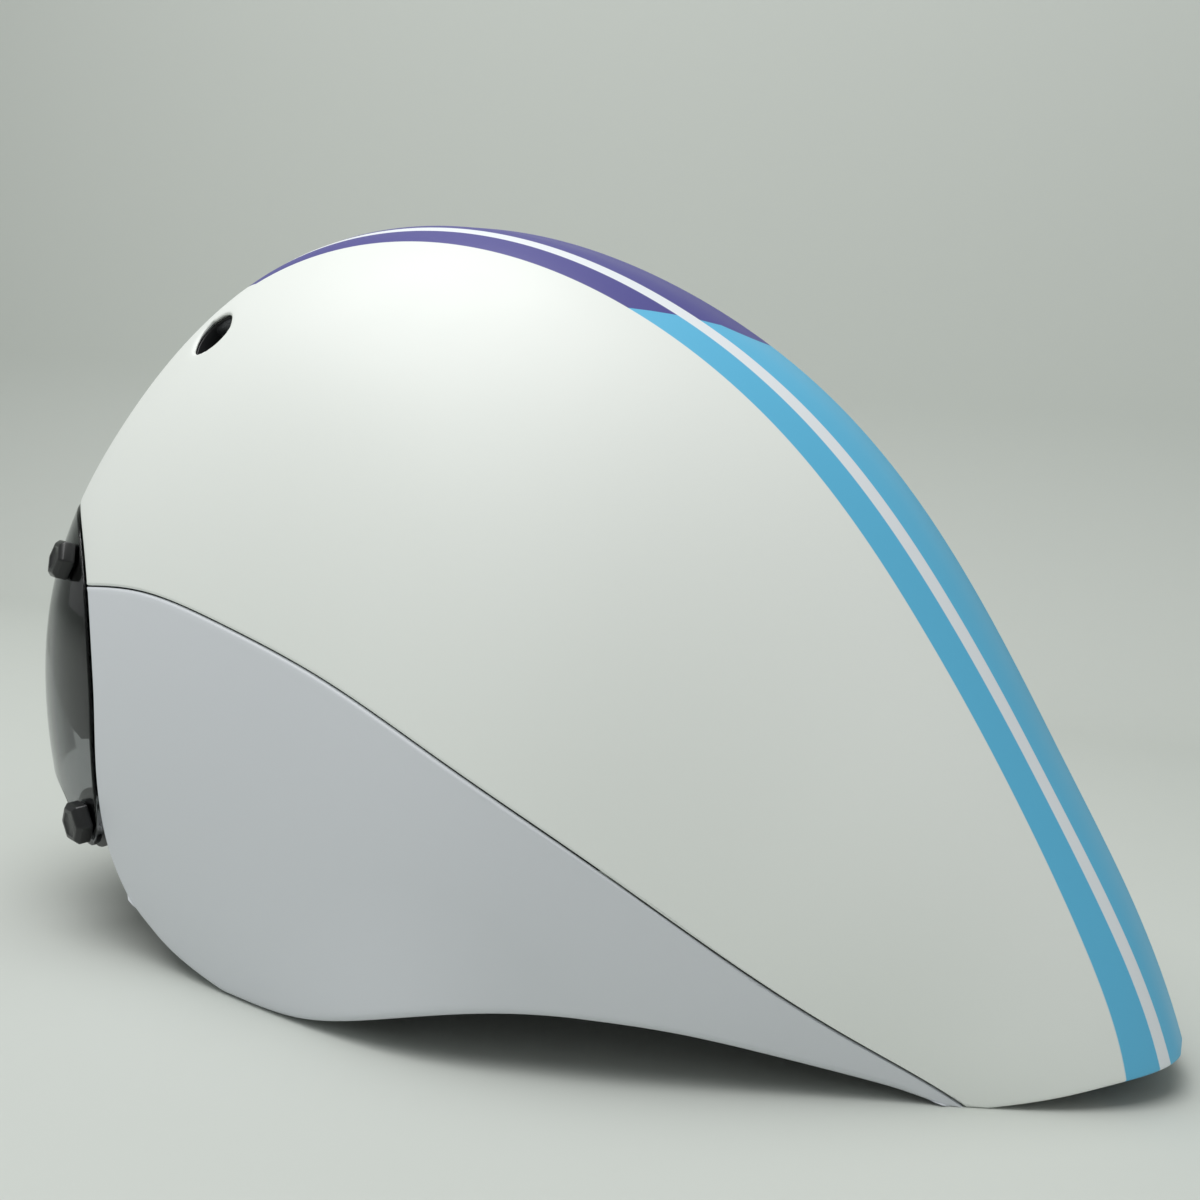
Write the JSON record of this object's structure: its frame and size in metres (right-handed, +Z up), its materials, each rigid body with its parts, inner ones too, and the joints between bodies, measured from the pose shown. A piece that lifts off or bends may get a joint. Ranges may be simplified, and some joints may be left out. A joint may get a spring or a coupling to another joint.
{
  "type": "aero time trial helmet",
  "caption": "Long-tail aero cycling helmet with lower side panels, magnetic smoked face shield, foam liner, dial-adjusted head ring and buckled chin strap.",
  "frame": {"origin": "on the surface that the helmet stands on, below the middle of its bounding box", "axes": "-X towards the wearer's face side, +X towards the tail, +Z up, the wearer's left side at -Y"},
  "size_m": [0.3852, 0.1962, 0.2324],
  "materials": {
    "shell": "matte white paint on moulded polycarbonate",
    "black_plastic": "fine moulded texture",
    "grey_plastic": "moulded",
    "foam": "black expanded polystyrene",
    "pad_fabric": "brushed knit",
    "webbing": "woven",
    "rubber": "matte",
    "smoked_lens": "clear smoked polycarbonate",
    "dark_lens": "dark smoked film",
    "magnet": "nickel plated",
    "spring_steel": "rolled"
  },
  "bodies": {
    "helmet": {"upper_shell": "shell", "side_panel_left": "shell", "side_panel_right": "shell", "face_bezel": "black_plastic", "bezel_magnets": "magnet", "foam_liner": "foam", "vent_insert_left": "black_plastic", "vent_insert_right": "black_plastic", "vent_insert_centre": "black_plastic", "brow_pad": "pad_fabric", "crown_pads": "pad_fabric", "ear_pad_left": "pad_fabric", "ear_pad_right": "pad_fabric", "height_rail": "black_plastic", "strap_anchors": "black_plastic", "strap_left": "webbing", "strap_right": "webbing", "strap_divider_left": "black_plastic", "strap_divider_right": "black_plastic", "buckle_socket": "black_plastic", "chin_pad": "pad_fabric"},
    "visor": {"visor_lens": "smoked_lens", "visor_inner_lens": "dark_lens", "visor_knobs": "black_plastic", "visor_magnets": "magnet"},
    "cradle": {"cradle_frame": "black_plastic", "cradle_cover": "black_plastic", "cradle_pads": "pad_fabric", "click_spring": "spring_steel"},
    "dial": {"dial_knob": "grey_plastic", "pinion_gear": "grey_plastic"},
    "left_belt": {"belt_left": "black_plastic"},
    "right_belt": {"belt_right": "black_plastic"},
    "left_lever": {"divider_lever_left": "grey_plastic"},
    "right_lever": {"divider_lever_right": "grey_plastic"},
    "plug": {"buckle_plug": "black_plastic", "strap_keeper": "rubber"}
  },
  "joints": [
    {"name": "visor_pull", "type": "slide", "parent": "helmet", "child": "visor", "axis": [-1, 0, 0], "range_m": [0, 0.06]},
    {"name": "cradle_height", "type": "slide", "parent": "helmet", "child": "cradle", "axis": [0, 0, 1], "range_m": [-0.008, 0.008]},
    {"name": "dial_turn", "type": "hinge", "parent": "cradle", "child": "dial", "pos_m": [0.039, 0, 0.06], "axis": [1, 0, 0], "range_deg": [-120, 120]},
    {"name": "left_belt_draw", "type": "hinge", "parent": "cradle", "child": "left_belt", "pos_m": [-0.033, 0, 0.06], "axis": [0, 0, 1], "range_deg": [-6.9, 6.9]},
    {"name": "right_belt_draw", "type": "hinge", "parent": "cradle", "child": "right_belt", "pos_m": [-0.033, 0, 0.06], "axis": [0, 0, 1], "range_deg": [-6.9, 6.9]},
    {"name": "left_lever_open", "type": "hinge", "parent": "helmet", "child": "left_lever", "pos_m": [-0.029, -0.0735, 0.0384], "axis": [1, 0, 0], "range_deg": [0, 70]},
    {"name": "right_lever_open", "type": "hinge", "parent": "helmet", "child": "right_lever", "pos_m": [-0.029, 0.0735, 0.0384], "axis": [-1, 0, 0], "range_deg": [0, 70]},
    {"name": "buckle_release", "type": "slide", "parent": "helmet", "child": "plug", "axis": [0, 1, 0], "range_m": [0, 0.016], "deforming": ["strap_right"]}
  ],
  "couplings": [
    {"joint": "left_belt_draw", "follows": "dial_turn", "ratio": -0.055788},
    {"joint": "right_belt_draw", "follows": "dial_turn", "ratio": 0.055788}
  ]
}
